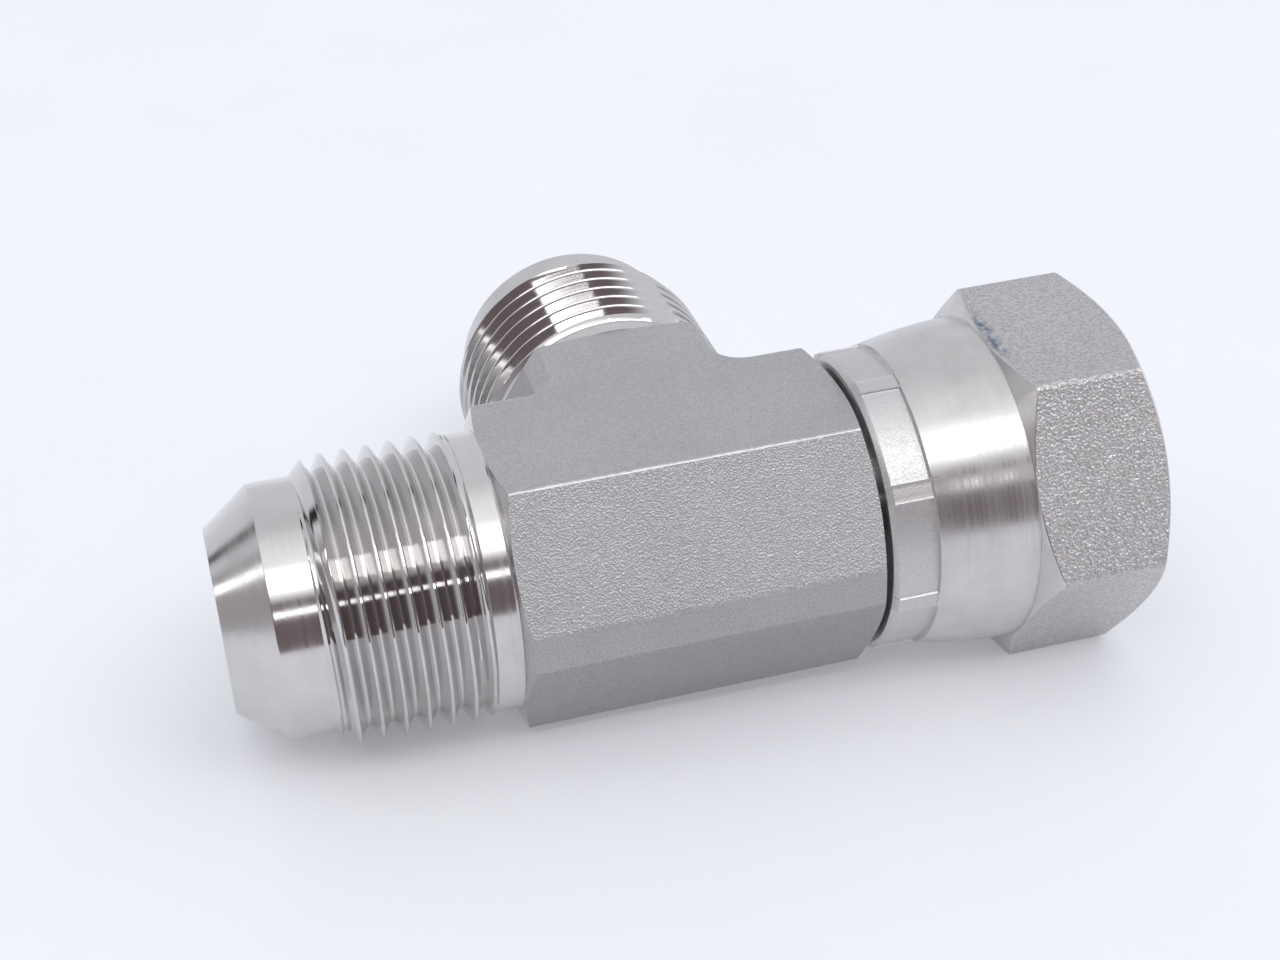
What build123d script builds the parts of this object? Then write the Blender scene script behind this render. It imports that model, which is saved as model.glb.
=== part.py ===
from build123d import *
import os
from math import cos, radians, tan

# Swivel nut run tee, size -12, for 37 degree flare tube fittings (SAE J514). Millimetres.
# The run lies along X and the branch along +Y; their axes cross at the origin. +Z is up.
# The -X and +Y arms end in male flare ends. The +X arm ends in a tail with a 37 degree
# seat, and the swivel nut is crimped over the collar of that tail.

INCH = 25.4

# Passages, and the two male flare ends, measured from the tee's centre
PASSAGE_R = 15.5 / 2
CENTRE_TO_NOSE = 42.2
NOSE_R = 8.5
FLARE_ANGLE = 37.0
PILOT_R = 11.85
THREAD_START = 33.9
NECK_START = 19.3
NECK_R = 13.05
MOUTH_CHAMFER = 0.3

# 1-1/16 - 12 UN thread of the male ends
THREAD_PITCH = INCH / 12
THREAD_CREST_R = 26.86 / 2
THREAD_ROOT_R = 11.95
THREAD_ROOT_FLAT = 0.12
FLANK_ANGLE = 30.0
GROOVE_OVERRUN = 0.6
RUN_OUT_SLOPE = 56.0
GROOVE_CLEAR = 0.15
RUN_TURN = 62.0
BRANCH_TURN = 69.0

# Forged block: six-sided arms whose side corners are trimmed flat, with turned ends
BODY_HALF_RUN = 17.0
BODY_BRANCH_END = 17.4
BODY_HALF_HEIGHT = 13.0
TOP_HALF_WIDTH = 8.0
SIDE_HALF_WIDTH = 14.8
TRIM_HALF_HEIGHT = 1.8
CORNER_R = 3.2
END_CHAMFER_ANGLE = 20.0
TURNED_LIMIT_R = 22.0
LAP = 1.0

# Tail of the body, inside the nut
TAIL_NECK_R = 11.1
COLLAR_R = 12.1
COLLAR_BACK = 22.3
TAIL_NOSE = 30.2
SEAT_MOUTH_R = 11.4

# Swivel nut, outside
NUT_BACK = 17.4
NUT_FACE = 44.3
NUT_FLATS = 31.75
NUT_CORNER_R = 0.8
NUT_TURN = 3.8
HEX_BACK = 30.95
HEX_CHAMFER_ANGLE = 30.0
HEX_FACE_R = 15.1
LIP_EDGE_R = 13.8
BAND_R = 14.3
BAND_END = 21.6
SKIRT_BACK = 21.72
SKIRT_BACK_R = 14.6
SKIRT_MID = (25.6, 15.32)
SKIRT_CROWN = (29.5, 15.72)
DIE_COUNT = 8
DIE_PHASE = 11.8
DIE_RIDGE_ARC = 6.6
DIE_RIDGE_HEIGHT = 0.15
DIE_RIDGE_LAP = 0.3

# Swivel nut, inside
LIP_R = 11.2
NUT_FLOAT = 0.5
COUNTERBORE_R = 12.75
RELIEF_R = 13.8
RELIEF_BACK = 28.4
RELIEF_END = 30.8
NUT_THREAD_R = 12.5
NUT_THREAD_ROOT_R = 13.5
NUT_THREAD_ROOT_FLAT = 0.2
THREAD_RING_LAP = 0.3


def turned(points):
    """A solid of revolution about X; each point is (x, radius)."""
    return revolve(make_face(Polyline(*points, close=True)), Axis.X)


def groove_profile(bottom_r, top_r, bottom_flat):
    """Section of a V groove in the XZ plane, and the radius of its helix."""
    path_r = (bottom_r + top_r) / 2
    half_bottom = bottom_flat / 2
    half_top = half_bottom + abs(top_r - bottom_r) * tan(radians(FLANK_ANGLE))
    corners = [
        (bottom_r, 0, -half_bottom),
        (bottom_r, 0, half_bottom),
        (top_r, 0, half_top),
        (top_r, 0, -half_top),
    ]
    return make_face(Polyline(*corners, close=True)), path_r


def along_x(solid, start):
    """Turns a groove wound about Z from height 0 so that it starts at x = start."""
    return Pos(X=start) * Rot(Y=90) * solid


def thread_groove(start, end, bottom_r, top_r, bottom_flat):
    """A right-handed V groove about X from start to end; top_r is on its open side."""
    profile, path_r = groove_profile(bottom_r, top_r, bottom_flat)
    path = Helix(pitch=THREAD_PITCH, height=end - start, radius=path_r)
    return along_x(sweep(profile, path, is_frenet=True), start)


def run_out_groove(start, bottom_r, top_r, bottom_flat):
    """The last half turn of a groove, which climbs out of the work towards smaller x."""
    profile, path_r = groove_profile(bottom_r, top_r, bottom_flat)
    path = Helix(
        pitch=THREAD_PITCH, height=THREAD_PITCH / 2, radius=path_r, cone_angle=RUN_OUT_SLOPE
    )
    groove = Rot(X=180) * sweep(profile, path, is_frenet=True)
    return along_x(groove, start)


def arm_section():
    """Section of a forged arm in its own XY plane: a hexagon with its side corners trimmed."""
    right = [
        (TOP_HALF_WIDTH, -BODY_HALF_HEIGHT),
        (SIDE_HALF_WIDTH, -TRIM_HALF_HEIGHT),
        (SIDE_HALF_WIDTH, TRIM_HALF_HEIGHT),
        (TOP_HALF_WIDTH, BODY_HALF_HEIGHT),
    ]
    left = [(-x, y) for x, y in reversed(right)]
    return make_face(Polyline(*right, *left, close=True))


def end_waste(length):
    """What turning takes off an arm about X: flat to the neck, and then coned back."""
    setback = (TURNED_LIMIT_R - NECK_R) * tan(radians(END_CHAMFER_ANGLE))
    return turned(
        [
            (length, 0),
            (length, NECK_R),
            (length - setback, TURNED_LIMIT_R),
            (length + CORNER_R, TURNED_LIMIT_R),
            (length + CORNER_R, 0),
        ]
    )


def arm(length):
    """One forged arm from the centre to x = length."""
    return extrude(Plane.YZ * arm_section(), amount=length)


def inner_corner(side):
    """Rounded web in the corner between the branch and the run, on side -1 or 1 in X."""
    reach = TOP_HALF_WIDTH + CORNER_R
    inside = TOP_HALF_WIDTH - LAP
    top = BODY_HALF_HEIGHT
    web_edges = [
        Line((reach, inside, top), (reach, TOP_HALF_WIDTH, top)),
        RadiusArc((reach, TOP_HALF_WIDTH, top), (TOP_HALF_WIDTH, reach, top), CORNER_R),
        Line((TOP_HALF_WIDTH, reach, top), (inside, reach, top)),
        Line((inside, reach, top), (inside, inside, top)),
        Line((inside, inside, top), (reach, inside, top)),
    ]
    draft = SIDE_HALF_WIDTH - TOP_HALF_WIDTH
    slope = Vector(draft, draft, TRIM_HALF_HEIGHT - BODY_HALF_HEIGHT)
    section = make_face(web_edges)
    upper = extrude(section, amount=slope.length, dir=slope)
    trimmed = extrude(Pos(slope) * section, amount=2 * TRIM_HALF_HEIGHT, dir=(0, 0, -1))
    web = upper + trimmed + mirror(upper, Plane.XY)
    return web if side > 0 else mirror(web, Plane.YZ)


def male_end(shoulder, turn):
    """Male 37 degree flare end about X, from the block's end at x = shoulder to its nose.

    turn is the angle that its thread is started at.
    """
    crest_rise = THREAD_CREST_R - PILOT_R
    flare_run = (PILOT_R - NOSE_R) / tan(radians(FLARE_ANGLE))
    blank = turned(
        [
            (shoulder - LAP, 0),
            (shoulder - LAP, NECK_R - LAP),
            (shoulder, NECK_R - LAP),
            (shoulder, NECK_R),
            (NECK_START, NECK_R),
            (NECK_START + THREAD_CREST_R - NECK_R, THREAD_CREST_R),
            (THREAD_START - crest_rise, THREAD_CREST_R),
            (THREAD_START, PILOT_R),
            (CENTRE_TO_NOSE - flare_run, PILOT_R),
            (CENTRE_TO_NOSE, NOSE_R),
            (CENTRE_TO_NOSE, 0),
        ]
    )
    root_and_top = (THREAD_ROOT_R, THREAD_CREST_R + GROOVE_CLEAR, THREAD_ROOT_FLAT)
    groove_start = NECK_START + THREAD_PITCH / 2
    groove_end = THREAD_START + GROOVE_OVERRUN
    groove = thread_groove(groove_start, groove_end, *root_and_top)
    run_out = run_out_groove(groove_start, *root_and_top)
    return Rot(X=turn) * (blank - groove - run_out)


def tail():
    """Tail about X that carries the nut: neck, collar with a coned back, plain nose."""
    return turned(
        [
            (BODY_HALF_RUN - LAP, 0),
            (BODY_HALF_RUN - LAP, TAIL_NECK_R),
            (COLLAR_BACK, TAIL_NECK_R),
            (COLLAR_BACK + COLLAR_R - TAIL_NECK_R, COLLAR_R),
            (TAIL_NOSE, COLLAR_R),
            (TAIL_NOSE, 0),
        ]
    )


def passages():
    """Run passage with the swivel seat at its +X end, and the branch passage."""
    seat_depth = (SEAT_MOUTH_R - PASSAGE_R) / tan(radians(FLARE_ANGLE))
    run = turned(
        [
            (-CENTRE_TO_NOSE - LAP, 0),
            (-CENTRE_TO_NOSE - LAP, PASSAGE_R + MOUTH_CHAMFER),
            (-CENTRE_TO_NOSE, PASSAGE_R + MOUTH_CHAMFER),
            (-CENTRE_TO_NOSE + MOUTH_CHAMFER, PASSAGE_R),
            (TAIL_NOSE - seat_depth, PASSAGE_R),
            (TAIL_NOSE, SEAT_MOUTH_R),
            (TAIL_NOSE + LAP, SEAT_MOUTH_R),
            (TAIL_NOSE + LAP, 0),
        ]
    )
    branch = turned(
        [
            (0, 0),
            (0, PASSAGE_R),
            (CENTRE_TO_NOSE - MOUTH_CHAMFER, PASSAGE_R),
            (CENTRE_TO_NOSE, PASSAGE_R + MOUTH_CHAMFER),
            (CENTRE_TO_NOSE + LAP, PASSAGE_R + MOUTH_CHAMFER),
            (CENTRE_TO_NOSE + LAP, 0),
        ]
    )
    return run + Rot(Z=90) * branch


def tee_body():
    """The one-piece body: three forged arms, two male ends and the swivel tail."""
    block = arm(BODY_HALF_RUN) + Rot(Z=180) * arm(BODY_HALF_RUN)
    block += Rot(Z=90) * arm(BODY_BRANCH_END)
    for side in (-1, 1):
        block += inner_corner(side)
    block -= end_waste(BODY_HALF_RUN) + Rot(Z=180) * end_waste(BODY_HALF_RUN)
    block -= Rot(Z=90) * end_waste(BODY_BRANCH_END)
    block += Rot(Z=180) * male_end(BODY_HALF_RUN, RUN_TURN)
    block += Rot(Z=90) * male_end(BODY_BRANCH_END, BRANCH_TURN)
    block += tail()
    return block - passages()


def nut_hexagon():
    """Hexagonal part of the nut with both ends turned to a cone."""
    rim_r = NUT_FLATS / 2 / cos(radians(30)) + LAP
    back_rise = (rim_r - NUT_FLATS / 2) * tan(radians(HEX_CHAMFER_ANGLE))
    face_rise = (rim_r - HEX_FACE_R) * tan(radians(HEX_CHAMFER_ANGLE))
    hexagon = RegularPolygon(NUT_FLATS / 2, 6, major_radius=False)
    outline = fillet(hexagon.vertices(), NUT_CORNER_R)
    prism = extrude(Plane.YZ * outline, amount=NUT_FACE)
    limits = turned(
        [
            (HEX_BACK - LAP, 0),
            (HEX_BACK - LAP, SKIRT_CROWN[1] - LAP),
            (HEX_BACK, SKIRT_CROWN[1] - LAP),
            (HEX_BACK, NUT_FLATS / 2),
            (HEX_BACK + back_rise, rim_r),
            (NUT_FACE - face_rise, rim_r),
            (NUT_FACE, HEX_FACE_R),
            (NUT_FACE, 0),
        ]
    )
    return Rot(X=NUT_TURN) * prism & limits


def nut_skirt():
    """Barrel-shaped skirt, pressed in at the back by the crimping dies."""
    lip_edge = BAND_R - LIP_EDGE_R
    outline = [
        Line((NUT_BACK, 0), (NUT_BACK, LIP_EDGE_R)),
        Line((NUT_BACK, LIP_EDGE_R), (NUT_BACK + lip_edge, BAND_R)),
        Line((NUT_BACK + lip_edge, BAND_R), (BAND_END, BAND_R)),
        Line((BAND_END, BAND_R), (SKIRT_BACK, SKIRT_BACK_R)),
        ThreePointArc((SKIRT_BACK, SKIRT_BACK_R), SKIRT_MID, SKIRT_CROWN),
        Line(SKIRT_CROWN, (HEX_BACK + LAP, SKIRT_CROWN[1])),
        Line((HEX_BACK + LAP, SKIRT_CROWN[1]), (HEX_BACK + LAP, 0)),
        Line((HEX_BACK + LAP, 0), (NUT_BACK, 0)),
    ]
    return revolve(make_face(outline), Axis.X)


def die_ridges():
    """Low ridges left where the crimping dies met."""
    start = NUT_BACK + BAND_R - LIP_EDGE_R
    inside_r = BAND_R - DIE_RIDGE_LAP
    top_r = BAND_R + DIE_RIDGE_HEIGHT
    strip = make_face(
        Polyline(
            (start, inside_r),
            (start + DIE_RIDGE_HEIGHT, top_r),
            (BAND_END + DIE_RIDGE_HEIGHT / 2, top_r),
            (BAND_END + DIE_RIDGE_HEIGHT / 2, inside_r),
            close=True,
        )
    )
    ridge = revolve(strip, Axis.X, revolution_arc=DIE_RIDGE_ARC)
    first = 90 + DIE_PHASE - DIE_RIDGE_ARC / 2
    return [Rot(X=first + index * 360 / DIE_COUNT) * ridge for index in range(DIE_COUNT)]


def nut_bore():
    """Inside of the nut: crimped lip, shoulder, counterbore, relief and seat of the thread."""
    shoulder = COLLAR_BACK + LIP_R - TAIL_NECK_R - NUT_FLOAT
    return turned(
        [
            (NUT_BACK - LAP, 0),
            (NUT_BACK - LAP, LIP_R),
            (shoulder, LIP_R),
            (shoulder + COUNTERBORE_R - LIP_R, COUNTERBORE_R),
            (RELIEF_BACK, COUNTERBORE_R),
            (RELIEF_BACK + RELIEF_R - COUNTERBORE_R, RELIEF_R),
            (RELIEF_END, RELIEF_R),
            (RELIEF_END, RELIEF_R + THREAD_RING_LAP),
            (NUT_FACE + LAP, RELIEF_R + THREAD_RING_LAP),
            (NUT_FACE + LAP, 0),
        ]
    )


def nut_thread():
    """Ring with the nut's thread, cut longer than it is and then turned to its ends."""
    spare = 3 * LAP
    rim_r = RELIEF_R + 2 * THREAD_RING_LAP
    mouth_r = NUT_THREAD_ROOT_R + MOUTH_CHAMFER
    blank = turned(
        [
            (RELIEF_END - spare, NUT_THREAD_R),
            (RELIEF_END - spare, rim_r),
            (NUT_FACE + spare, rim_r),
            (NUT_FACE + spare, NUT_THREAD_R),
        ]
    )
    groove = thread_groove(
        RELIEF_END - GROOVE_OVERRUN,
        NUT_FACE + GROOVE_OVERRUN,
        NUT_THREAD_ROOT_R,
        NUT_THREAD_R - GROOVE_CLEAR,
        NUT_THREAD_ROOT_FLAT,
    )
    back_waste = turned(
        [
            (RELIEF_END - spare - LAP, 0),
            (RELIEF_END - spare - LAP, rim_r + LAP),
            (RELIEF_END, rim_r + LAP),
            (RELIEF_END, RELIEF_R),
            (RELIEF_END + RELIEF_R - NUT_THREAD_R + LAP, NUT_THREAD_R - LAP),
            (RELIEF_END + RELIEF_R - NUT_THREAD_R + LAP, 0),
        ]
    )
    face_waste = turned(
        [
            (NUT_FACE - mouth_r + NUT_THREAD_R - LAP, 0),
            (NUT_FACE - mouth_r + NUT_THREAD_R - LAP, NUT_THREAD_R - LAP),
            (NUT_FACE, mouth_r),
            (NUT_FACE, rim_r + LAP),
            (NUT_FACE + spare + LAP, rim_r + LAP),
            (NUT_FACE + spare + LAP, 0),
        ]
    )
    return blank - groove - back_waste - face_waste


def swivel_nut():
    """The crimped swivel nut."""
    nut = nut_skirt() + nut_hexagon()
    for ridge in die_ridges():
        nut += ridge
    return nut - nut_bore() + nut_thread()


os.makedirs("parts", exist_ok=True)
export_step(tee_body(), "parts/tee_body.step")
export_step(swivel_nut(), "parts/swivel_nut.step")
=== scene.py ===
from math import atan2, cos, floor, hypot, pi, radians, sin, sqrt, tan

import bmesh
import bpy
from mathutils import Matrix, Vector


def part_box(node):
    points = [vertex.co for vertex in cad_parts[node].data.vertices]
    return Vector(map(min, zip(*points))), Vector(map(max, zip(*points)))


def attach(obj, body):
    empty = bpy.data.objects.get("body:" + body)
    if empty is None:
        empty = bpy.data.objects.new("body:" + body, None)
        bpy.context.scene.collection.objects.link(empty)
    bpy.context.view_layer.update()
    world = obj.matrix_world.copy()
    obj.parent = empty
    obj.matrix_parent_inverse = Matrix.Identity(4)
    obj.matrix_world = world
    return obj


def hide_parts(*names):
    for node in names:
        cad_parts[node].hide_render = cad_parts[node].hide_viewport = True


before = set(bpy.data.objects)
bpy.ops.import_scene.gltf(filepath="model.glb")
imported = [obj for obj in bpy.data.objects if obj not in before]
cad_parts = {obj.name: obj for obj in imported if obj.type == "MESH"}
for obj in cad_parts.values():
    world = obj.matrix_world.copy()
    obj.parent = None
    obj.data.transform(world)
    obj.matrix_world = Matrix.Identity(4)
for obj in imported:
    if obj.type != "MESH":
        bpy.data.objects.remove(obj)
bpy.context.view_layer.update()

# ---------------------------------------------------------------- sizes, in metres and radians
MM = 0.001
BODY_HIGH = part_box("tee_body")[1]
NUT_LOW, NUT_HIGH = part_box("swivel_nut")

# Ends of the two parts, from the frame. The run lies along X and the branch along +Y.
NOSE = BODY_HIGH.y
CREST_R = BODY_HIGH.z
TAIL_NOSE = BODY_HIGH.x
NUT_BACK = NUT_LOW.x
NUT_FACE = NUT_HIGH.x

# Male ends: nose, plain pilot, thread and neck, with a hidden root inside the block.
FLARE_ANGLE = radians(37)
PASSAGE_R = 7.75 * MM
INSIDE_R = 9.5 * MM
ROOT_R = 12.6 * MM
NOSE_R = 8.5 * MM
PILOT_R = 11.85 * MM
FLARE_RUN = (PILOT_R - NOSE_R) / tan(FLARE_ANGLE)
MOUTH_CHAMFER = 0.3 * MM
THREAD_START = 33.9 * MM
NECK_START = 19.3 * MM
NECK_R = 13.05 * MM
NECK_FLARE = 0.15 * MM
ROOT_DEPTH = 0.5 * MM
FINE_EDGE_R = 0.1 * MM
PILOT_EDGE_R = 0.25 * MM
NOSE_EDGE_R = 0.15 * MM
PITCH = 25.4 / 12 * MM
THREAD_ROOT_R = 11.95 * MM
THREAD_HALF_ANGLE = radians(30)
THREAD_FADE = 0.6 * PITCH
CREST_FLAT = 0.2 * MM
CREST_ROUNDING = 0.05 * MM
FLANK_STEPS = 6
RUN_TURN = radians(62)
BRANCH_TURN = radians(69)

# Tee block: shoulders, six-sided section, inner corners and the cone of its turned ends.
RUN_END = 17.0 * MM
BRANCH_END = 17.4 * MM
HALF_HEIGHT = 13.0 * MM
TOP_HALF_WIDTH = 8.0 * MM
SIDE_HALF_WIDTH = 14.8 * MM
TRIM_HALF_HEIGHT = 1.8 * MM
CORNER_R = 3.2 * MM
CORNER_STEPS = 12
END_CONE = tan(radians(20))
TURNED_LIMIT_R = 22.0 * MM
BLOCK_SPARE = 1.6 * MM
TOP_EDGE_R = 0.35 * MM
TRIM_EDGE_R = 1.2 * MM
SCALLOP_BEVEL = 0.1 * MM
SCALLOP_EDGE = radians(33)
WEB_SHARE = 0.18
WEB_TOP = 12.0 * MM

# Tail and collar under the nut.
COLLAR_BACK = 22.3 * MM
TAIL_NECK_R = 11.1 * MM
COLLAR_R = 12.1 * MM
SEAT_MOUTH_R = 11.4 * MM
TAIL_EDGE_R = 0.15 * MM

# Swivel nut: hexagon, crimped band, barrel-shaped skirt, and its bore from back to face.
NUT_APOTHEM = 31.75 / 2 * MM
NUT_CORNER_R = 0.8 * MM
NUT_TURN = radians(3.8)
HEX_BACK = 30.95 * MM
HEX_CONE = tan(radians(30))
HEX_FACE_R = 15.1 * MM
HEX_EDGE_R = 0.2 * MM
LIP_EDGE_R = 13.8 * MM
BAND_R = 14.3 * MM
BAND_END = 21.6 * MM
BAND_STEP = 0.12 * MM
SKIRT_BACK_R = 14.6 * MM
SKIRT_MID = (25.6 * MM, 15.32 * MM)
SKIRT_CROWN = (29.5 * MM, 15.72 * MM)
SKIRT_STEPS = 16
SKIRT_JOIN = 3
BAND_EDGE_R = 0.12 * MM
BAND_FOOT_R = 0.05 * MM
SKIRT_EDGE_R = 0.08 * MM
HEX_BACK_EDGE_R = 0.05 * MM
DIE_COUNT = 8
DIE_PHASE = radians(11.8)
DIE_RIDGE_ARC = radians(6.6)
DIE_RIDGE_EDGE = radians(0.35)
DIE_RIDGE_HEIGHT = 0.12 * MM
DIE_SHIFT = 0.12 * MM
DIE_SHIFT_STEP = 2.4
DIE_SHIFT_START = 0.6
DIE_BOW = 0.22 * MM
BURR_HEIGHT = 0.05 * MM
BURR_ARC = radians(0.7)
LIP_R = 11.2 * MM
LIP_SHOULDER = 21.9 * MM
COUNTERBORE_R = 12.75 * MM
RELIEF_R = 13.8 * MM
RELIEF_BACK = 28.4 * MM
RELIEF_END = 30.8 * MM
NUT_THREAD_R = 12.5 * MM
NUT_THREAD_ROOT_R = 13.5 * MM
NUT_CREST_FLAT = 0.76 * MM
NUT_THREAD_TURN = radians(282)

# How finely round pieces are divided, and which edges stay sharp.
MALE_COLUMNS = 240
NUT_COLUMNS = 216
TURNED_COLUMNS = 180
BORE_COLUMNS = 120
CLOSEST_COLUMNS = radians(0.08)
CORNER_PARTS = 4
ROUNDING_SHARE = 0.45
MERGE_DISTANCE = 1e-7
NO_LENGTH = 1e-9
SHARP = radians(32)
BLOCK_SHARP = radians(30)
NUT_SHARP = radians(28)

# Places in a piece's list of materials. Place 0 is turned steel in each piece.
# Place 4 of the block is a darker, smoother forged steel: painted shade on its back-facing inner corners
# and on its underside.
FORGED, WORN, TRIMMED, SMOOTH_SHADED = 1, 2, 3, 4  # block
THREADED = 1  # male end
HEX_SIDES, CRIMPED = 1, 2  # nut


# ---------------------------------------------------------------- mesh helpers
def soften(points, radius, steps=3):
    """Rounds all corners between the ends of an (x, r) line, with steps + 1 points for each."""
    radii = radius if isinstance(radius, (list, tuple)) else [radius] * (len(points) - 2)
    out = [points[0]]
    for before, corner, after, r in zip(points, points[1:], points[2:], radii):
        c = Vector(corner)
        a = Vector(before) - c
        b = Vector(after) - c
        reach = 0.0
        if a.length > NO_LENGTH and b.length > NO_LENGTH:
            reach = min(r / tan(a.angle(b) / 2), ROUNDING_SHARE * a.length, ROUNDING_SHARE * b.length)
        start = c + a.normalized() * reach
        end = c + b.normalized() * reach
        for step in range(steps + 1):
            t = step / steps
            p = start.lerp(c, t).lerp(c.lerp(end, t), t)
            out.append((p.x, p.y))
    out.append(points[-1])
    return out


def arc_through(start, middle, end, steps):
    """Points of the circle through three (x, r) points."""
    ax, ay = start
    bx, by = middle
    cx, cy = end
    a2 = ax**2 + ay**2
    b2 = bx**2 + by**2
    c2 = cx**2 + cy**2
    d = 2 * (ax * (by - cy) + bx * (cy - ay) + cx * (ay - by))
    ux = (a2 * (by - cy) + b2 * (cy - ay) + c2 * (ay - by)) / d
    uy = (a2 * (cx - bx) + b2 * (ax - cx) + c2 * (bx - ax)) / d
    r = hypot(ax - ux, ay - uy)
    a0 = atan2(ay - uy, ax - ux)
    a1 = atan2(cy - uy, cx - ux)
    angles = [a0 + (a1 - a0) * i / steps for i in range(steps + 1)]
    return [(ux + r * cos(a), uy + r * sin(a)) for a in angles]


def even_angles(count):
    """Angles of count equal steps round a full turn, with both ends."""
    return [2 * pi * i / count for i in range(count + 1)]


def wound(name, column, angles, sharp=SHARP):
    """Closed mesh about X. column(angle) gives the closed (x, r) outline at that angle.

    Angle 0 is at -Z and angles are right-handed about X. The last angle repeats the first.
    """
    bm = bmesh.new()
    rows = []
    for angle in angles:
        ring = [bm.verts.new((x, r * sin(angle), -r * cos(angle))) for x, r in column(angle)]
        rows.append(ring)
    count = len(rows[0])
    on_axis = [r == 0 for x, r in column(0.0)]
    sides = [(j, (j + 1) % count) for j in range(count)]
    sides = [(j, k) for j, k in sides if not (on_axis[j] and on_axis[k])]
    for left, right in zip(rows, rows[1:]):
        for j, k in sides:
            bm.faces.new((left[j], left[k], right[k], right[j]))
    bmesh.ops.remove_doubles(bm, verts=bm.verts, dist=MERGE_DISTANCE)
    bmesh.ops.dissolve_degenerate(bm, edges=bm.edges, dist=MERGE_DISTANCE)
    bmesh.ops.recalc_face_normals(bm, faces=bm.faces)
    return finish_mesh(name, bm, sharp)


def finish_mesh(name, bm, sharp=SHARP):
    """Turns a bmesh into a linked object, smooth but for its sharp edges."""
    mesh = bpy.data.meshes.new(name)
    bm.to_mesh(mesh)
    bm.free()
    obj = bpy.data.objects.new(name, mesh)
    bpy.context.scene.collection.objects.link(obj)
    shade(obj, sharp)
    return obj


def shade(obj, sharp):
    """Shades a mesh smooth, but for edges that turn by more than the sharp angle."""
    mesh = obj.data
    mesh.polygons.foreach_set("use_smooth", [True] * len(mesh.polygons))
    mesh.set_sharp_from_angle(angle=sharp)


def weigh_normals(obj):
    """Keeps flat faces flat beside their rounded edges."""
    weighted = obj.modifiers.new("weighted_normals", "WEIGHTED_NORMAL")
    weighted.keep_sharp = True


def cut(piece, tools):
    """Takes the tools out of the piece, and removes the tools."""
    for tool in tools:
        cutter = piece.modifiers.new(tool.name, "BOOLEAN")
        cutter.operation = "DIFFERENCE"
        cutter.solver = "MANIFOLD"
        cutter.object = tool
    depsgraph = bpy.context.evaluated_depsgraph_get()
    mesh = bpy.data.meshes.new_from_object(piece.evaluated_get(depsgraph))
    piece.modifiers.clear()
    piece.data = mesh
    for tool in tools:
        bpy.data.objects.remove(tool)


# ---------------------------------------------------------------- threads
def thread_line(angle, low, high, crest_r, root_r, crest_flat, turn, envelope):
    """(x, r) points from low to high along a right-handed thread, at one angle about X.

    The points keep to the thread's own edges, so every crest and root is a clean helix.
    envelope(x, r) gives the radius that is left where the thread runs out.
    """
    crest = crest_flat / PITCH
    flank = abs(crest_r - root_r) * tan(THREAD_HALF_ANGLE) / PITCH
    rounding = CREST_ROUNDING / PITCH
    top = [(-crest / 2 + rounding / 2, 0.0), (0.0, 0.0), (crest / 2 - rounding / 2, 0.0)]
    between = [step / FLANK_STEPS for step in range(1, FLANK_STEPS)]
    depths = [rounding / 2 / flank, *between, 1 - rounding / flank / 2]
    fall = [(crest / 2 + flank * depth, depth) for depth in depths]
    climb = [(1 - place, depth) for place, depth in reversed(fall)]
    marks = top + fall + [(0.5, 1.0)] + climb
    turns = int((high - low) / PITCH) + 3
    points = []
    for k in range(-2, turns):
        for place, depth in marks:
            x = low + PITCH * (k + place + (angle - turn) / (2 * pi))
            held = min(max(x, low), high)
            r = crest_r + (root_r - crest_r) * depth
            points.append((held, envelope(held, r)))
    return points


def male_envelope(x, r):
    """Male thread: it fades out towards the neck and is chamfered at its start."""
    neck_rise = x - NECK_START
    fade = min(1.0, neck_rise / THREAD_FADE)
    r = CREST_R + (r - CREST_R) * fade
    return min(r, NECK_R + neck_rise, PILOT_R + THREAD_START - x)


def nut_envelope(x, r):
    """Nut thread: it starts from the relief and is chamfered at the nut's face."""
    mouth_r = NUT_THREAD_ROOT_R + MOUTH_CHAMFER
    return max(r, RELIEF_R - (x - RELIEF_END), mouth_r - (NUT_FACE - x))


# ---------------------------------------------------------------- body pieces
def male_end(name, shoulder, turn, axis_turn):
    """One male flare end, wound about its own X axis and turned about Z to its place."""
    root = shoulder - ROOT_DEPTH
    flared_r = NECK_R + NECK_FLARE
    neck = soften(
        [
            (root, INSIDE_R),
            (root, ROOT_R),
            (shoulder - NECK_FLARE * END_CONE, ROOT_R),
            (shoulder - NECK_FLARE * END_CONE, flared_r),
            (shoulder + NECK_FLARE, NECK_R),
            (NECK_START - NECK_FLARE, NECK_R),
        ],
        FINE_EDGE_R,
    )
    nose = soften(
        [
            (THREAD_START + NECK_FLARE, PILOT_R),
            (NOSE - FLARE_RUN, PILOT_R),
            (NOSE, NOSE_R),
            (NOSE, PASSAGE_R + MOUTH_CHAMFER),
            (NOSE - MOUTH_CHAMFER, PASSAGE_R),
            (shoulder + MOUTH_CHAMFER, PASSAGE_R),
            (root, INSIDE_R - MOUTH_CHAMFER),
        ],
        [PILOT_EDGE_R, NOSE_EDGE_R, FINE_EDGE_R, FINE_EDGE_R, FINE_EDGE_R],
    )

    def column(angle):
        thread = thread_line(
            angle, NECK_START, THREAD_START, CREST_R, THREAD_ROOT_R, CREST_FLAT, turn, male_envelope
        )
        return neck + thread + nose

    piece = wound(name, column, even_angles(MALE_COLUMNS))
    for face in piece.data.polygons:
        x, y, z = face.center
        if NECK_START < x < THREAD_START and hypot(y, z) > THREAD_ROOT_R - CREST_ROUNDING:
            face.material_index = THREADED
    piece.matrix_world = Matrix.Rotation(axis_turn, 4, "Z")
    return piece


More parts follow.
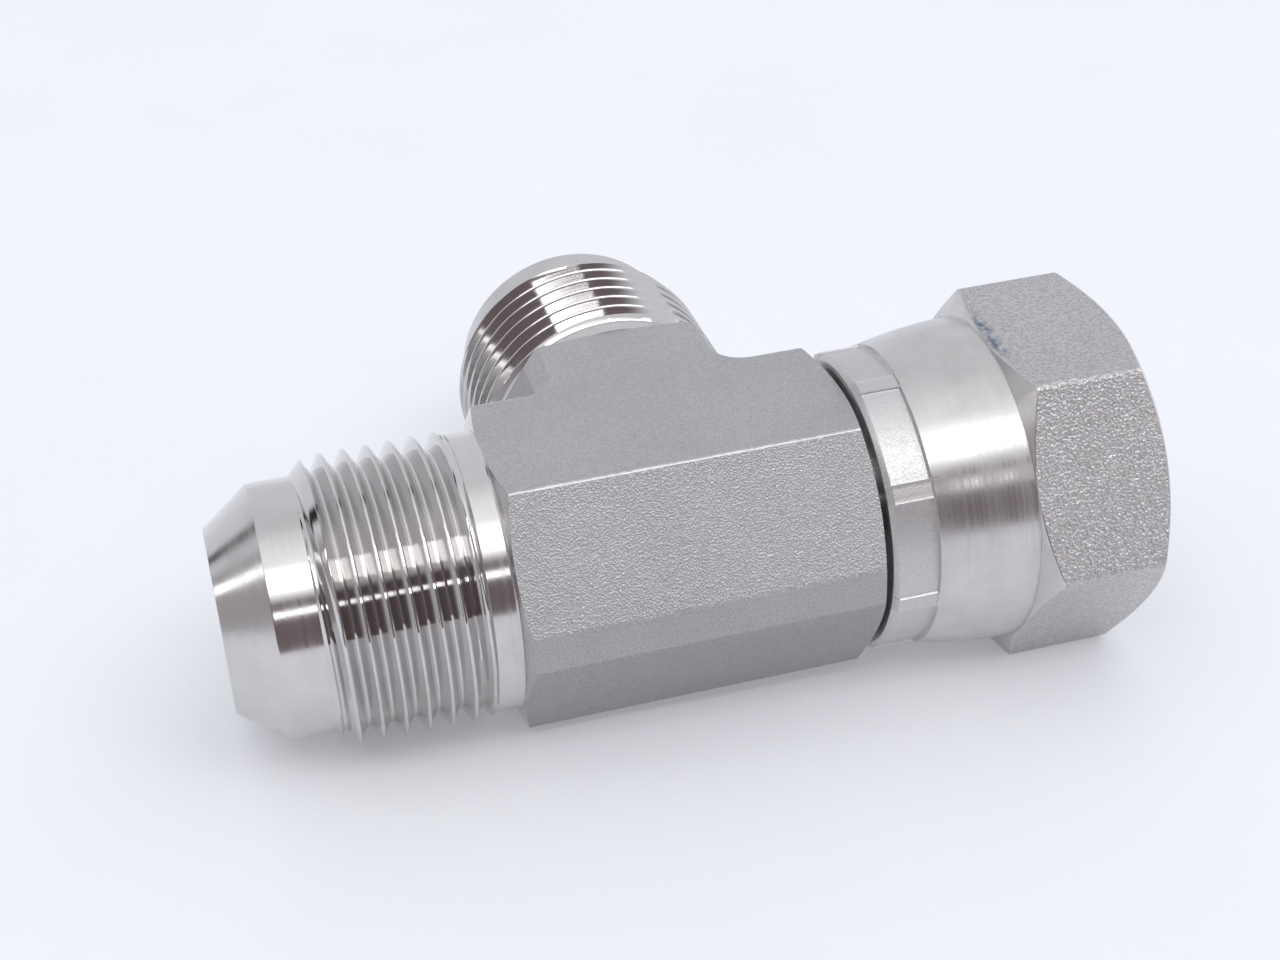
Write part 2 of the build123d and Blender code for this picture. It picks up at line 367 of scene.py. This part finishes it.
def block_plan(w):
    """Plan outline of the tee block where its arms are 2 w wide."""
    run = RUN_END + BLOCK_SPARE
    branch = BRANCH_END + BLOCK_SPARE
    centre = w + CORNER_R
    quarter = [pi / 2 * i / CORNER_STEPS for i in range(CORNER_STEPS + 1)]
    right = [(centre - CORNER_R * sin(t), centre - CORNER_R * cos(t)) for t in quarter]
    left = [(-x, y) for x, y in reversed(right)]
    return [(-run, -w), (run, -w), (run, w)] + right + [(w, branch), (-w, branch)] + left + [(-run, w)]


def split_slopes(rows):
    """Adds a row near the top of each long slope of the block's (half width, height) section."""
    out = [rows[0]]
    for (w0, z0), (w1, z1) in zip(rows, rows[1:]):
        if w0 != w1 and abs(z0 - z1) > HALF_HEIGHT / 2:
            share = WEB_SHARE if z0 > 0 else 1 - WEB_SHARE
            out.append((w0 + (w1 - w0) * share, z0 + (z1 - z0) * share))
        out.append((w1, z1))
    return out


def end_waste(name, length):
    """What turning takes off an arm about X, beyond its shoulder."""
    setback = (TURNED_LIMIT_R - NECK_R) * END_CONE
    beyond = length + 3 * BLOCK_SPARE
    outline = [
        (length, 0),
        (length, NECK_R),
        (length - setback, TURNED_LIMIT_R),
        (beyond, TURNED_LIMIT_R),
        (beyond, 0),
    ]
    return wound(name, lambda angle: outline, even_angles(TURNED_COLUMNS))


def passage(name, start, end):
    """Cutter for a passage along X."""
    outline = [(start, 0), (start, PASSAGE_R), (end, PASSAGE_R), (end, 0)]
    return wound(name, lambda angle: outline, even_angles(BORE_COLUMNS))


def block_surface(upper, lower, facing_back):
    """Place in the list of materials of a block face between two heights. Back-facing inner corners and
    the underside get the darker, smoother forged steel: painted shade.
    """
    top = max(abs(upper), abs(lower))
    if facing_back:
        # The darker steel given to these faces is painted shade.
        return SMOOTH_SHADED if top < WEB_TOP else FORGED
    if top > HALF_HEIGHT - TOP_EDGE_R and 0 < abs(upper - lower) < TOP_EDGE_R:
        return WORN
    if top < TRIM_HALF_HEIGHT:
        return TRIMMED
    return SMOOTH_SHADED if upper < 0 else FORGED


def block_blank():
    """The forging before it is turned: six-sided arms with trimmed sides and rounded edges.

    Its section starts and ends on the flat top and bottom, so that their edges are rounded too.
    """
    flat_edge = TOP_HALF_WIDTH - CORNER_R / 2
    section = [
        (flat_edge, HALF_HEIGHT),
        (TOP_HALF_WIDTH, HALF_HEIGHT),
        (SIDE_HALF_WIDTH, TRIM_HALF_HEIGHT),
        (SIDE_HALF_WIDTH, -TRIM_HALF_HEIGHT),
        (TOP_HALF_WIDTH, -HALF_HEIGHT),
        (flat_edge, -HALF_HEIGHT),
    ]
    rows = split_slopes(soften(section, [TOP_EDGE_R, TRIM_EDGE_R, TRIM_EDGE_R, TOP_EDGE_R]))
    bm = bmesh.new()
    rings = [[bm.verts.new((x, y, z)) for x, y in block_plan(w)] for w, z in rows]
    count = len(rings[0])
    for above, below in zip(rings, rings[1:]):
        for j in range(count):
            k = (j + 1) % count
            face = bm.faces.new((above[j], below[j], below[k], above[k]))
            facing_back = above[j].co.y > 0 and above[j].co.y != above[k].co.y
            face.material_index = block_surface(above[0].co.z, below[0].co.z, facing_back)
    bm.faces.new(rings[0]).material_index = FORGED
    bm.faces.new(list(reversed(rings[-1]))).material_index = FORGED
    bmesh.ops.recalc_face_normals(bm, faces=bm.faces)
    return finish_mesh("body_block", bm)


def body_block():
    """The tee block with its ends turned and its passages bored."""
    block = block_blank()
    nut_side = end_waste("nut_side_waste", RUN_END)
    run_side = end_waste("run_side_waste", RUN_END)
    run_side.matrix_world = Matrix.Rotation(pi, 4, "Z")
    branch_side = end_waste("branch_side_waste", BRANCH_END)
    branch_side.matrix_world = Matrix.Rotation(pi / 2, 4, "Z")
    run_bore = passage("run_bore", -RUN_END - CORNER_R, RUN_END + CORNER_R)
    branch_bore = passage("branch_bore", 0, BRANCH_END + CORNER_R)
    branch_bore.matrix_world = Matrix.Rotation(pi / 2, 4, "Z")
    cut(block, [nut_side, run_side, branch_side, run_bore, branch_bore])
    bevel = block.modifiers.new("scallop_edges", "BEVEL")
    bevel.limit_method = "ANGLE"
    bevel.angle_limit = SCALLOP_EDGE
    bevel.width = SCALLOP_BEVEL
    bevel.segments = 2
    shade(block, BLOCK_SHARP)
    weigh_normals(block)
    return block


def swivel_tail():
    """Tail under the nut: neck, collar with a coned back, and the 37 degree seat."""
    root = RUN_END - ROOT_DEPTH
    seat_depth = (SEAT_MOUTH_R - PASSAGE_R) / tan(FLARE_ANGLE)
    outline = soften(
        [
            (root, INSIDE_R),
            (root, TAIL_NECK_R),
            (COLLAR_BACK, TAIL_NECK_R),
            (COLLAR_BACK + COLLAR_R - TAIL_NECK_R, COLLAR_R),
            (TAIL_NOSE, COLLAR_R),
            (TAIL_NOSE, SEAT_MOUTH_R),
            (TAIL_NOSE - seat_depth, PASSAGE_R),
            (RUN_END + MOUTH_CHAMFER, PASSAGE_R),
            (root, INSIDE_R - MOUTH_CHAMFER),
        ],
        TAIL_EDGE_R,
    )
    return wound("swivel_tail", lambda angle: outline, even_angles(TURNED_COLUMNS))


# ---------------------------------------------------------------- swivel nut
def corner_spread():
    """Half the angle that a rounded corner of the hexagon takes up."""
    centre = (NUT_APOTHEM - NUT_CORNER_R) / cos(pi / 6)
    return atan2(NUT_CORNER_R / 2, centre + NUT_CORNER_R * cos(pi / 6))


def hexagon_r(angle):
    """Radius of the nut's hexagon, with rounded corners, at an angle about X."""
    from_flat = (angle - NUT_TURN + pi / 6) % (pi / 3) - pi / 6
    from_corner = pi / 6 - abs(from_flat)
    if from_corner > corner_spread():
        return NUT_APOTHEM / cos(from_flat)
    centre = (NUT_APOTHEM - NUT_CORNER_R) / cos(pi / 6)
    return centre * cos(from_corner) + sqrt(NUT_CORNER_R**2 - (centre * sin(from_corner)) ** 2)


def die_mark(angle):
    """(height of the crimped band over its own radius, shift of its end along X) at an angle."""
    spacing = 2 * pi / DIE_COUNT
    turn = (angle - DIE_PHASE) / spacing
    from_ridge = abs(turn - round(turn)) * spacing
    off_edge = from_ridge - DIE_RIDGE_ARC / 2
    rise = min(1.0, max(0.0, 1 - off_edge / DIE_RIDGE_EDGE))
    off_middle = 1 - max(0.0, off_edge) / (spacing / 2 - DIE_RIDGE_ARC / 2)
    burr = max(0.0, 1 - abs(off_edge) / BURR_ARC)
    height = DIE_RIDGE_HEIGHT * rise - DIE_BOW * (1 - off_middle**2) + BURR_HEIGHT * burr
    die = floor(turn) % DIE_COUNT
    return height, DIE_SHIFT * sin(DIE_SHIFT_STEP * die + DIE_SHIFT_START) * (1 - rise)


def nut_angles():
    """Column angles of the nut, closer together at its corners and die marks."""
    angles = set(even_angles(NUT_COLUMNS)[:-1])
    spread = corner_spread()
    for corner in range(6):
        middle = NUT_TURN + pi / 6 + corner * pi / 3
        for part in range(-CORNER_PARTS, CORNER_PARTS + 1):
            angles.add((middle + spread * part / CORNER_PARTS) % (2 * pi))
    for die in range(DIE_COUNT):
        middle = DIE_PHASE + die * 2 * pi / DIE_COUNT
        for side in (-1, 1):
            for reach in (-BURR_ARC, 0.0, DIE_RIDGE_EDGE, BURR_ARC):
                angles.add((middle + side * (DIE_RIDGE_ARC / 2 + reach)) % (2 * pi))
    apart = [0.0]
    for angle in sorted(angles):
        if angle - apart[-1] > CLOSEST_COLUMNS:
            apart.append(angle)
    return apart + [2 * pi]


def nut_column(angle):
    """The nut's closed outline at one angle: outside from back to face, then the bore."""
    height, shift = die_mark(angle)
    band_r = BAND_R + height
    band_end = BAND_END + shift
    outer_r = hexagon_r(angle)
    skirt = arc_through((BAND_END + BAND_STEP, SKIRT_BACK_R), SKIRT_MID, SKIRT_CROWN, SKIRT_STEPS)
    lip_rise = BAND_R - LIP_EDGE_R
    back = soften(
        [
            (NUT_BACK, LIP_R + MOUTH_CHAMFER),
            (NUT_BACK, LIP_EDGE_R),
            (NUT_BACK + lip_rise, band_r),
            (band_end, band_r),
            (band_end + BAND_STEP, SKIRT_BACK_R),
            skirt[SKIRT_JOIN],
        ],
        [BAND_EDGE_R, BAND_EDGE_R, BAND_FOOT_R, SKIRT_EDGE_R],
    )
    hexagon = soften(
        [
            skirt[-1],
            (HEX_BACK, SKIRT_CROWN[1]),
            (HEX_BACK, NUT_APOTHEM),
            (HEX_BACK + (outer_r - NUT_APOTHEM) * HEX_CONE, outer_r),
            (NUT_FACE - (outer_r - HEX_FACE_R) * HEX_CONE, outer_r),
            (NUT_FACE, HEX_FACE_R),
            (NUT_FACE, NUT_THREAD_ROOT_R + MOUTH_CHAMFER),
        ],
        [FINE_EDGE_R, HEX_BACK_EDGE_R, HEX_EDGE_R, HEX_EDGE_R, HEX_EDGE_R],
    )
    thread = thread_line(
        angle,
        RELIEF_END,
        NUT_FACE,
        NUT_THREAD_R,
        NUT_THREAD_ROOT_R,
        NUT_CREST_FLAT,
        NUT_THREAD_TURN,
        nut_envelope,
    )
    bore = [
        (RELIEF_BACK + RELIEF_R - COUNTERBORE_R, RELIEF_R),
        (RELIEF_BACK, COUNTERBORE_R),
        (LIP_SHOULDER + COUNTERBORE_R - LIP_R, COUNTERBORE_R),
        (LIP_SHOULDER, LIP_R),
        (NUT_BACK + MOUTH_CHAMFER, LIP_R),
    ]
    return back + skirt[SKIRT_JOIN + 1 : -1] + hexagon + thread[::-1] + bore


def swivel_nut():
    """The whole nut, with its forged hexagon sides and its crimped band marked."""
    nut = wound("nut_shell", nut_column, nut_angles(), sharp=NUT_SHARP)
    for face in nut.data.polygons:
        x, y, z = face.center
        from_axis = hypot(y, z)
        along = abs(face.normal.x) < 0.05
        if along and x > HEX_BACK and from_axis > HEX_FACE_R + HEX_EDGE_R:
            face.material_index = HEX_SIDES
        elif x < BAND_END and from_axis > LIP_EDGE_R:
            face.material_index = CRIMPED
    weigh_normals(nut)
    return nut


# ---------------------------------------------------------------- materials
TURNED_TINT = (0.66, 0.645, 0.64)
GREASE = (0.16, 0.20, 0.27)
GREASE_X = 31.7 * MM
GREASE_Y = -0.5 * MM


class Nodes:
    """Short way to build a node tree."""

    def __init__(self, tree):
        self.tree = tree
        tree.nodes.clear()

    def add(self, kind, inputs=None, **settings):
        node = self.tree.nodes.new(kind)
        for key, value in settings.items():
            setattr(node, key, value)
        for key, value in (inputs or {}).items():
            if isinstance(value, bpy.types.NodeSocket):
                self.tree.links.new(value, node.inputs[key])
            else:
                node.inputs[key].default_value = value
        return node

    def math(self, operation, a, b=0.0):
        return self.add("ShaderNodeMath", {0: a, 1: b}, operation=operation).outputs[0]

    def noise(self, vector, scale, detail=2.0, roughness=0.5):
        inputs = {"Vector": vector, "Scale": scale, "Detail": detail, "Roughness": roughness}
        return self.add("ShaderNodeTexNoise", inputs).outputs["Fac"]

    def ramp(self, value, low, high, to_low=0.0, to_high=1.0):
        inputs = {"Value": value, 1: low, 2: high, 3: to_low, 4: to_high}
        return self.add("ShaderNodeMapRange", inputs).outputs[0]

    def mix(self, factor, a, b):
        inputs = {"Factor": factor, 6: a, 7: b}
        return self.add("ShaderNodeMix", inputs, data_type="RGBA").outputs[2]

    def bump(self, height, distance, strength=1.0, normal=None):
        inputs = {"Height": height, "Distance": distance, "Strength": strength}
        if normal is not None:
            inputs["Normal"] = normal
        return self.add("ShaderNodeBump", inputs).outputs[0]


def new_material(name):
    """Empty material, and the means to build it."""
    material = bpy.data.materials.new(name)
    material.use_nodes = True
    return material, Nodes(material.node_tree)


def close_material(nodes, **inputs):
    """Ends a material in a shader. An input's name is written with _ for each space."""
    spaced = {name.replace("_", " "): value for name, value in inputs.items()}
    shader = nodes.add("ShaderNodeBsdfPrincipled", spaced)
    nodes.add("ShaderNodeOutputMaterial", {"Surface": shader.outputs[0]})


def forged_steel(name, base, grain_scale=4800.0, depth=0.065, contrast=0.3, shine=0.40, smudged=False):
    """Blasted surface of a forging: fine bright grains on a satin grey."""
    material, n = new_material(name)
    place = n.add("ShaderNodeTexCoord").outputs["Object"]
    grain = n.noise(place, grain_scale, 2.0, 0.6)
    pits = {"Vector": place, "Scale": 1.1 * grain_scale}
    cells = n.add("ShaderNodeTexVoronoi", pits).outputs["Distance"]
    broad = n.noise(place, 420.0, 3.0)
    cloud = n.noise(place, 90.0, 4.0, 0.6)
    stain = n.noise(place, 260.0, 5.0, 0.7)
    height = n.math("ADD", grain, n.math("MULTIPLY", cells, 0.9))
    normal = n.bump(height, depth * MM, 0.9, n.bump(broad, 0.04 * MM, 0.5))
    light = tuple(part * 1.07 for part in base)
    dark = tuple(part * 0.62 for part in base)
    tone = n.mix(n.ramp(cloud, 0.35, 0.7), (*base, 1), (*light, 1))
    tone = n.mix(n.ramp(grain, 0.58, 0.40, 0.0, contrast), tone, (*dark, 1))
    colour = n.mix(n.ramp(stain, 0.72, 0.8), tone, (*dark, 1))
    if smudged:
        colour = n.mix(smudge(n, place), colour, (*GREASE, 1))
    rough = n.ramp(grain, 0.35, 0.75, shine + 0.18, shine)
    close_material(n, Base_Color=colour, Metallic=1.0, Roughness=rough, Normal=normal)
    return material


def smudge(n, place):
    """Mask of a small smear of tool grease on the back edge of one of the nut's flats."""
    parts = n.add("ShaderNodeSeparateXYZ", {0: place}).outputs
    ragged = n.noise(place, 900.0, 4.0, 0.7)
    across = n.math("ABSOLUTE", n.math("SUBTRACT", parts["X"], GREASE_X))
    along = n.math("ABSOLUTE", n.math("SUBTRACT", parts["Y"], GREASE_Y))
    narrow = n.ramp(across, 0.9 * MM, 0.2 * MM)
    short = n.ramp(along, 5.0 * MM, 3.5 * MM)
    upper = n.math("GREATER_THAN", parts["Z"], 0.0)
    patch = n.math("MULTIPLY", n.math("MULTIPLY", narrow, short), upper)
    return n.math("MULTIPLY", patch, n.ramp(ragged, 0.42, 0.6))


def turned_steel(name, roughness=0.21, ring_depth=0.004, film_rough=0.08):
    """Lathe-turned surface with fine rings about the piece's own X axis."""
    material, n = new_material(name)
    place = n.add("ShaderNodeTexCoord").outputs["Object"]
    parts = n.add("ShaderNodeSeparateXYZ", {0: place}).outputs
    side = parts["Y"]
    up = parts["Z"]
    squares = n.math("ADD", n.math("MULTIPLY", side, side), n.math("MULTIPLY", up, up))
    feed = n.math("ADD", parts["X"], n.math("SQRT", squares))

    def ring_noise(per_metre, round_scale):
        line = {"X": n.math("MULTIPLY", feed, per_metre)}
        line["Y"] = n.math("MULTIPLY", side, round_scale)
        line["Z"] = n.math("MULTIPLY", up, round_scale)
        return n.noise(n.add("ShaderNodeCombineXYZ", line).outputs[0], 1.0, 2.0)

    rings = ring_noise(9000.0, 30.0)
    lines = ring_noise(3000.0, 20.0)
    waves = ring_noise(900.0, 12.0)
    film = n.noise(place, 130.0, 4.0, 0.65)
    normal = n.bump(rings, ring_depth * MM, 1.0, n.bump(waves, 4 * ring_depth * MM, 0.8))
    dull = tuple(part * 0.86 for part in TURNED_TINT)
    colour = n.mix(n.ramp(film, 0.35, 0.75), (*TURNED_TINT, 1), (*dull, 1))
    satin = n.ramp(film, 0.4, 0.8, roughness, roughness + film_rough)
    spread = n.math("MULTIPLY", satin, n.ramp(lines, 0.35, 0.65, 0.86, 1.16))
    tangent = n.add("ShaderNodeTangent", direction_type="RADIAL", axis="X").outputs[0]
    close_material(
        n,
        Base_Color=colour,
        Metallic=1.0,
        Roughness=spread,
        Normal=normal,
        Anisotropic=0.8,
        Anisotropic_Rotation=0.25,
        Tangent=tangent,
    )
    return material


def worn_edge():
    """Edge of the forging, rubbed bright."""
    material, n = new_material("worn_edge")
    place = n.add("ShaderNodeTexCoord").outputs["Object"]
    nicks = n.noise(place, 1500.0, 3.0, 0.6)
    normal = n.bump(nicks, 0.03 * MM, 0.6)
    colour = n.mix(n.ramp(nicks, 0.4, 0.6), (0.50, 0.495, 0.505, 1), (0.66, 0.655, 0.66, 1))
    rough = n.ramp(nicks, 0.3, 0.7, 0.34, 0.5)
    close_material(n, Base_Color=colour, Metallic=1.0, Roughness=rough, Normal=normal)
    return material


def pale_paper():
    """Plain pale sheet that the fitting stands on. It glows a little: painted light from below that
    lightens the shadows on it.
    """
    material, n = new_material("pale_paper")
    place = n.add("ShaderNodeTexCoord").outputs["Object"]
    tone = n.noise(place, 30.0, 3.0)
    fibre = n.noise(place, 1800.0, 2.0)
    colour = n.mix(n.ramp(tone, 0.3, 0.7), (0.665, 0.68, 0.715, 1), (0.685, 0.70, 0.735, 1))
    close_material(
        n,
        Base_Color=colour,
        Roughness=0.6,
        Normal=n.bump(fibre, 0.02 * MM, 0.2),
        # The sheet's own glow is painted light that lifts its shadows.
        Emission_Color=(0.94, 0.96, 1.0, 1),
        Emission_Strength=0.215,
    )
    return material


def fill_materials(piece, materials):
    """Puts the materials in the piece's list in order, over any empty places that it has."""
    places = piece.data.materials
    for index, material in enumerate(materials):
        if index < len(places):
            places[index] = material
        else:
            places.append(material)


# ---------------------------------------------------------------- the object
forged = forged_steel("forged_steel", (0.505, 0.50, 0.51))
trimmed = forged_steel("trimmed_steel", (0.46, 0.445, 0.45), depth=0.02)
# Darker, smoother copy of the forged steel: painted shade for the block's inner corners and underside.
smooth_shaded_forged = forged_steel("smooth_shaded_forged_steel", (0.405, 0.395, 0.41), depth=0.03)
nut_forged = forged_steel(
    "nut_forged_steel",
    (0.58, 0.565, 0.57),
    grain_scale=3300.0,
    depth=0.10,
    contrast=0.55,
    shine=0.30,
    smudged=True,
)
turned = turned_steel("turned_steel")
thread_steel = turned_steel("thread_steel", roughness=0.09, ring_depth=0.0008, film_rough=0.03)
skirt_steel = turned_steel("nut_skirt_steel", roughness=0.32, ring_depth=0.005)
crimped = forged_steel("crimped_steel", (0.60, 0.585, 0.59), depth=0.014, contrast=0.15, shine=0.33)
edge = worn_edge()

block = body_block()
run_end = male_end("run_flare_end", RUN_END, RUN_TURN, pi)
branch_end = male_end("branch_flare_end", BRANCH_END, BRANCH_TURN, pi / 2)
tail = swivel_tail()
nut = swivel_nut()

fill_materials(block, [turned, forged, edge, trimmed, smooth_shaded_forged])
fill_materials(run_end, [turned, thread_steel])
fill_materials(branch_end, [turned, thread_steel])
fill_materials(tail, [turned])
fill_materials(nut, [skirt_steel, nut_forged, crimped])

for piece in (run_end, branch_end, tail):
    weigh_normals(piece)

for piece in (block, run_end, branch_end, tail):
    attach(piece, "body")
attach(nut, "nut")
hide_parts("tee_body")
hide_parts("swivel_nut")


# ---------------------------------------------------------------- floor
FLOOR_HALF_WIDTH = 2.0
FLOOR_GAP = 0.03 * MM


def floor_plane():
    """(point, normal) of the surface that the fitting leans on: two threads and a nut corner."""
    crest_x = THREAD_START - (CREST_R - PILOT_R)
    corner_angle = NUT_TURN - pi / 6
    corner_r = hexagon_r(corner_angle)
    corner_x = HEX_BACK + (corner_r - NUT_APOTHEM) * HEX_CONE
    run = Vector((-crest_x, 0, -CREST_R))
    branch = Vector((0, crest_x, -CREST_R))
    corner = Vector((corner_x, corner_r * sin(corner_angle), -corner_r * cos(corner_angle)))
    normal = (branch - run).cross(run - corner).normalized()
    return run, normal if normal.z > 0 else -normal


def make_floor():
    """Flat sheet just under the fitting."""
    point, normal = floor_plane()
    bm = bmesh.new()
    bmesh.ops.create_grid(bm, x_segments=1, y_segments=1, size=FLOOR_HALF_WIDTH)
    floor_sheet = finish_mesh("floor", bm)
    floor_sheet.data.materials.append(pale_paper())
    turn = Vector((0, 0, 1)).rotation_difference(normal).to_matrix().to_4x4()
    floor_sheet.matrix_world = Matrix.Translation(point - normal * FLOOR_GAP) @ turn


make_floor()


# ---------------------------------------------------------------- light
LIGHT_DISTANCE = 1.6
LIGHT_COLOUR = (0.985, 0.99, 1.0)
ROOM_PALE = (0.82, 0.835, 0.88, 1)
ROOM_GLOW = (1.3, 1.3, 1.31, 1)
ROOM_DARK = (0.178, 0.14, 0.148, 1)
ROOM_BLACK = (0.01, 0.01, 0.01, 1)


def soft_box(name, direction, along, size, power):
    """Rectangular soft light that points at the object, with its long side along the given line."""
    data = bpy.data.lights.new(name, "AREA")
    data.shape = "RECTANGLE"
    data.size, data.size_y = size
    data.energy = power
    data.color = LIGHT_COLOUR
    light = bpy.data.objects.new(name, data)
    bpy.context.scene.collection.objects.link(light)
    back = Vector(direction).normalized()
    upright = back.cross(Vector(along)).normalized()
    turn = Matrix((upright.cross(back), upright, back)).transposed().to_4x4()
    light.matrix_world = Matrix.Translation(back * LIGHT_DISTANCE) @ turn


def pale_room():
    """World light: a pale tent, brighter beside the key light, with a black gap at its back left.

    At its front left the tent is open to a darker room, up to about 43 degrees of elevation.
    """
    world = bpy.data.worlds.new("pale_room")
    world.use_nodes = True
    bpy.context.scene.world = world
    n = Nodes(world.node_tree)
    way = n.add("ShaderNodeTexCoord").outputs["Generated"]

    def facing(direction):
        """Cosine of the angle between a point of the room and a direction."""
        inputs = {0: way, 1: Vector(direction).normalized()}
        return n.add("ShaderNodeVectorMath", inputs, operation="DOT_PRODUCT").outputs["Value"]

    glow = n.ramp(facing((0.0, -0.42, 0.91)), 0.72, 0.98)
    colour = n.mix(glow, ROOM_PALE, ROOM_GLOW)

    open_side = n.ramp(facing((-0.602, -0.799, 0.0)), 0.20, 0.33)
    low = n.ramp(facing((0.0, 0.0, 1.0)), 0.72, 0.64)
    left_light = n.ramp(facing((-1.0, 0.0, 0.0)), 0.60, 0.90, 1.0, 0.62)
    dark = n.math("MULTIPLY", n.math("MULTIPLY", open_side, low), left_light)
    colour = n.mix(dark, colour, ROOM_DARK)

    near_gap = n.ramp(facing((-0.728, 0.560, 0.396)), cos(radians(28)), cos(radians(18)))
    off_gap = n.math("ABSOLUTE", n.math("ADD", facing((-0.418, -0.872, 0.254)), 0.083))
    gap = n.math("MULTIPLY", near_gap, n.ramp(off_gap, 0.10, 0.05))
    colour = n.mix(gap, colour, ROOM_BLACK)

    background = n.add("ShaderNodeBackground", {"Color": colour, "Strength": 1.0})
    n.add("ShaderNodeOutputWorld", {"Surface": background.outputs[0]})


pale_room()
soft_box("key_light", direction=(0.1, -0.51, 0.86), along=(1, 0, 0), size=(2.2, 0.54), power=7.0)
soft_box("front_strip", direction=(0.06, -0.862, 0.505), along=(1, 0, 0), size=(0.68, 0.10), power=0.9)
soft_box(
    "left_strip",
    direction=(-0.909, 0.087, 0.408),
    along=(0.341, -0.407, 0.847),
    size=(0.56, 0.15),
    power=0.85,
)


# ---------------------------------------------------------------- camera
CAMERA_SIDE = radians(14.23)
CAMERA_HEIGHT = radians(32.43)
CAMERA_ROLL = radians(2.87)
CAMERA_DISTANCE = 203.9 * MM
CAMERA_AIM = Vector((0.2 * MM, 10.17 * MM, 0))
CAMERA_LENS_MM = 58.15
SENSOR_WIDTH_MM = 36.0
NEAREST_SEEN = 0.01


def make_camera():
    """Camera in front of the fitting, to its left and above it."""
    level_reach = cos(CAMERA_HEIGHT)
    ahead = Vector((sin(CAMERA_SIDE) * level_reach, cos(CAMERA_SIDE) * level_reach, -sin(CAMERA_HEIGHT)))
    level = ahead.cross(Vector((0, 0, 1))).normalized()
    upright = level.cross(ahead)
    up = upright * cos(CAMERA_ROLL) + level * sin(CAMERA_ROLL)
    right = ahead.cross(up)
    data = bpy.data.cameras.new("camera")
    data.lens = CAMERA_LENS_MM
    data.sensor_width = SENSOR_WIDTH_MM
    data.clip_start = NEAREST_SEEN
    camera = bpy.data.objects.new("camera", data)
    bpy.context.scene.collection.objects.link(camera)
    turn = Matrix((right, up, -ahead)).transposed().to_4x4()
    camera.matrix_world = Matrix.Translation(CAMERA_AIM - ahead * CAMERA_DISTANCE) @ turn
    bpy.context.scene.camera = camera


make_camera()
bpy.context.scene.view_settings.view_transform = "Standard"
